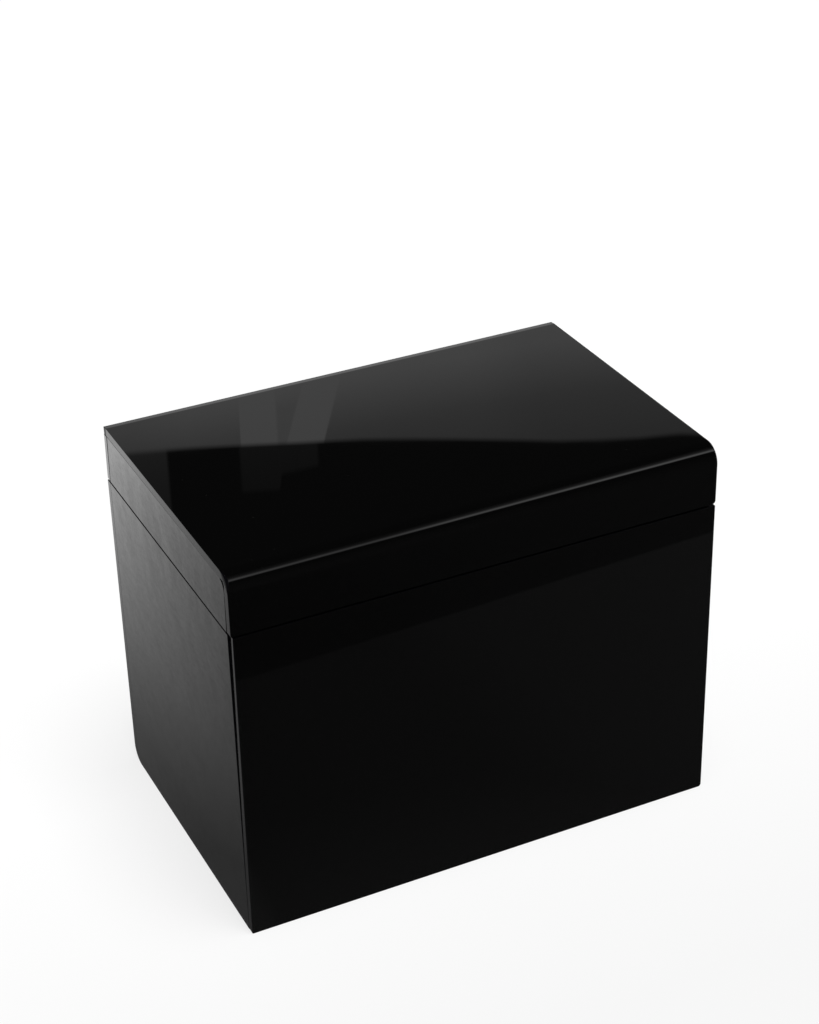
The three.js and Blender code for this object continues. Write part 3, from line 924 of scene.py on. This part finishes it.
world = bpy.data.worlds.new("white studio")
bpy.context.scene.world = world
world.use_nodes = True
tree = world.node_tree
tree.nodes.clear()
towards = add(tree, "TexCoord").outputs["Generated"]
to = add(tree, "SeparateXYZ", {0: towards}).outputs
height = add(tree, "VectorMath", {0: towards, 1: WALL_TILT}, operation="DOT_PRODUCT")
ends = gradient(tree, to["X"], WALL_ENDS, WALL_LEFT, WALL_RIGHT)
wall = product(tree, gradient(tree, height.outputs["Value"], WALL_LEVELS), ends)
plan = add(tree, "Math", {0: to["X"], 1: to["Y"]}, operation="DIVIDE")
upright = gradient(tree, plan, FIRST_SHEET, BEARING_FROM, BEARING_TO)
leaning = add(tree, "Math", {0: to["Z"], 1: LEAN, 2: plan}, operation="MULTIPLY_ADD")
leant_by = LEAN * LEAN_ABOUT
aslant = gradient(tree, leaning, SECOND_SHEET, BEARING_FROM + leant_by, BEARING_TO + leant_by)
with_first = add(tree, "Math", {0: wall, 1: upright}, operation="MAXIMUM")
with_sheets = add(tree, "Math", {0: with_first, 1: aslant}, operation="MAXIMUM")
print("wall and sheets:", len(tree.nodes), "nodes")

# %% [markdown]
# The wall ends at 28 degrees of height. The top of the lid mirrors that edge as the line where it turns
# from grey to black. The line isn't straight, so the edge's height is a gradient too, stretched between
# two heights. Towards the front of the room the wall fades out.

# %% The room: the wall's top
WALL_TOP = ((0.0, 0.468), (0.29, 0.4679), (0.333, 0.4686), (0.36, 0.4684), (0.437, 0.4702), (0.453, 0.4695),
            (0.469, 0.4683), (0.484, 0.4662), (1.0, 0.465))
WALL_TOP_LOW, WALL_TOP_HIGH = 0.46, 0.48
EDGE_BLUR = 0.001
FADE_FROM, FADE_TO, FADE_LEAST = -0.3, 0.3, 0.03


def height_over(tree, value, stops, lowest, highest, low=0.0, high=1.0):
    """How far a direction's Z is over a line through (position, height) stops.

    The line is lowest + (highest - lowest) * share, with a gradient's share at the value's place.
    """
    shares = [(position, (level - lowest) / (highest - lowest)) for position, level in stops]
    share = gradient(tree, value, shares, low, high)
    line = add(tree, "Math", {0: share, 1: highest - lowest, 2: lowest}, operation="MULTIPLY_ADD")
    return add(tree, "Math", {0: to["Z"], 1: line}, operation="SUBTRACT")


above = height_over(tree, to["X"], WALL_TOP, WALL_TOP_LOW, WALL_TOP_HIGH)
under_top = add(tree, "MapRange", {"Value": above, "From Min": EDGE_BLUR, "From Max": -EDGE_BLUR})
behind = add(tree, "MapRange", {"Value": to["Y"], "From Min": FADE_FROM, "From Max": FADE_TO,
                                "To Min": FADE_LEAST, "To Max": 1.0}, interpolation_type="SMOOTHSTEP")
lit_wall = product(tree, with_sheets, behind, under_top)
print("wall with its top:", len(tree.nodes), "nodes")

# %% [markdown]
# Over the wall's edge the room is dark but not empty. Three dim things stand there, each from one bearing
# to the next and up to its own height, and get darker upwards. They are hardly more than black, yet they
# tell the eye that the lid is a mirror and not a hole.

# %% The room: dim things above the wall
DARK_ROOM = 0.011
THINGS = ((0.0, 0.095), (0.20, 0.09), (0.21, 0.0), (0.475, 0.0), (0.485, 0.032), (0.78, 0.032), (0.79, 0.0),
          (1.0, 0.0))
THINGS_TOP = ((0.0, 0.497), (0.30, 0.497), (0.31, 0.4867), (0.628, 0.4867), (0.638, 0.4805), (0.78, 0.478),
              (1.0, 0.478))
THINGS_LOW, THINGS_HIGH = 0.46, 0.50
THINGS_LEAST = 0.4

over = height_over(tree, plan, THINGS_TOP, THINGS_LOW, THINGS_HIGH, BEARING_FROM, BEARING_TO)
under_things = add(tree, "MapRange", {"Value": over, "From Min": EDGE_BLUR, "From Max": -EDGE_BLUR})
over_wall = add(tree, "MapRange", {"Value": above, "From Min": -EDGE_BLUR, "From Max": EDGE_BLUR})
darker = add(tree, "MapRange", {"Value": to["Z"], "From Min": THINGS_LOW, "From Max": THINGS_HIGH,
                                "To Min": 1.0, "To Max": THINGS_LEAST})
things = gradient(tree, plan, THINGS, BEARING_FROM, BEARING_TO)
things = product(tree, things, under_things, over_wall, darker, behind)
dim_room = add(tree, "Math", {0: things, 1: DARK_ROOM}, operation="ADD")
room = add(tree, "Math", {0: lit_wall, 1: dim_room}, operation="ADD")
print("room so far:", len(tree.nodes), "nodes")

# %% [markdown]
# One long soft box hangs in front, up over the camera. Only the bend of the lid is turned the right way to
# mirror it, which draws the thin bright line along the lid's front edge. It is brightest to the right, and
# dims towards its ends and downwards.

# %% The room: soft box
SOFTBOX_TILT = (-0.41, 0.5, 0.0)
SOFTBOX_START = 0.661
SOFTBOX_RISE = ((0.0, 0.0), (0.20, 0.0), (0.22, 0.5), (0.245, 1.0), (0.275, 0.75), (0.30, 0.3), (0.34, 0.11),
                (0.40, 0.04), (0.46, 0.0), (1.0, 0.0))
SOFTBOX_FROM, SOFTBOX_TO = 0.28, 0.46
SOFTBOX_BRIGHTEST = 1.5
SOFTBOX_LEVELS = ((0.0, 0.63), (0.12, 0.59), (0.20, 0.53), (0.42, 0.47), (0.58, 0.80), (0.75, 0.85),
                  (1.0, 1.0))
SOFTBOX_ENDS = ((-0.1, 0.2), (0.75, 0.55))
SOFTBOX_LOW, SOFTBOX_HIGH = 0.3, 0.5

tilted = add(tree, "VectorMath", {0: towards, 1: SOFTBOX_TILT}, operation="DOT_PRODUCT")
up_front = add(tree, "Math", {0: tilted.outputs["Value"], 1: SOFTBOX_START}, operation="ADD")
rise = gradient(tree, up_front, SOFTBOX_RISE)
lengthways = gradient(tree, to["X"], SOFTBOX_LEVELS, SOFTBOX_FROM, SOFTBOX_TO)
faded = [add(tree, "MapRange", {"Value": to["X"], "From Min": dark, "From Max": full},
             interpolation_type="SMOOTHSTEP") for dark, full in SOFTBOX_ENDS]
raised = add(tree, "MapRange", {"Value": to["Z"], "From Min": SOFTBOX_LOW, "From Max": SOFTBOX_HIGH})
softbox = product(tree, rise, lengthways, SOFTBOX_BRIGHTEST, *faded, raised)
print("soft box:", SOFTBOX_BRIGHTEST, "at its brightest")

# %% [markdown]
# The camera sees plain white round the paper, the gloss sees the room, and matt surfaces get even light
# from everywhere.

# %% The room: what each ray sees
EVEN_LIGHT = 0.12

ray = add(tree, "LightPath").outputs
in_gloss = add(tree, "Math", {0: room, 1: softbox}, operation="ADD")
by_mirror = add(tree, "Math", {0: ray["Is Glossy Ray"], 1: ray["Is Transmission Ray"]}, operation="MAXIMUM")
unseen = add(tree, "Mix", {0: by_mirror, 2: EVEN_LIGHT, 3: in_gloss}, data_type="FLOAT")
strength = add(tree, "Mix", {0: ray["Is Camera Ray"], 2: unseen, 3: 1.0}, data_type="FLOAT")
shine = add(tree, "Background", {"Color": linear("#ffffff"), "Strength": strength})
add(tree, "OutputWorld", {"Surface": shine})
print("room:", len(tree.nodes), "nodes")

# %% [markdown]
# One broad lamp almost overhead, a little to the front and right, lights the paper, so the box throws a
# soft shadow to its left. Its light is for the paper alone: what the gloss shows of the studio is in the
# room.

# %% Lamp
KEY_TOWARDS = Vector((0.06, -0.21, 1.0))
KEY_SPREAD = math.radians(32)
KEY_LEVEL = 3.25

light = bpy.data.lights.new("key", "SUN")
light.angle = KEY_SPREAD
light.energy = KEY_LEVEL
key = bpy.data.objects.new("key", light)
key.rotation_euler = (-KEY_TOWARDS).to_track_quat("-Z", "Y").to_euler()
key.visible_glossy = False
bpy.context.scene.collection.objects.link(key)
print("key", KEY_LEVEL, "W/m2 from", [round(c, 2) for c in KEY_TOWARDS.normalized()])

# %% [markdown]
# The camera stands to the left in front of the box and looks down on it by 30 degrees, with a long lens
# and a slight tilt to the side. The Standard view keeps white paper white.

# %% Camera
EYE = Vector((-0.4998, -1.0608, 0.8655))
AIM = Vector((0.0634, 0.1312, 0.1100))
ROLL = math.radians(-1.497)
LENS = 78.43
SENSOR = 36

camera = bpy.data.objects.new("camera", bpy.data.cameras.new("camera"))
camera.data.sensor_width = SENSOR
camera.data.lens = LENS
turned = (AIM - EYE).to_track_quat("-Z", "Y").to_matrix() @ Matrix.Rotation(ROLL, 3, "Z")
camera.matrix_world = Matrix.Translation(EYE) @ turned.to_4x4()
bpy.context.scene.collection.objects.link(camera)
bpy.context.scene.camera = camera
bpy.context.scene.view_settings.view_transform = "Standard"
print("camera", round((AIM - EYE).length, 3), "m from its aim")
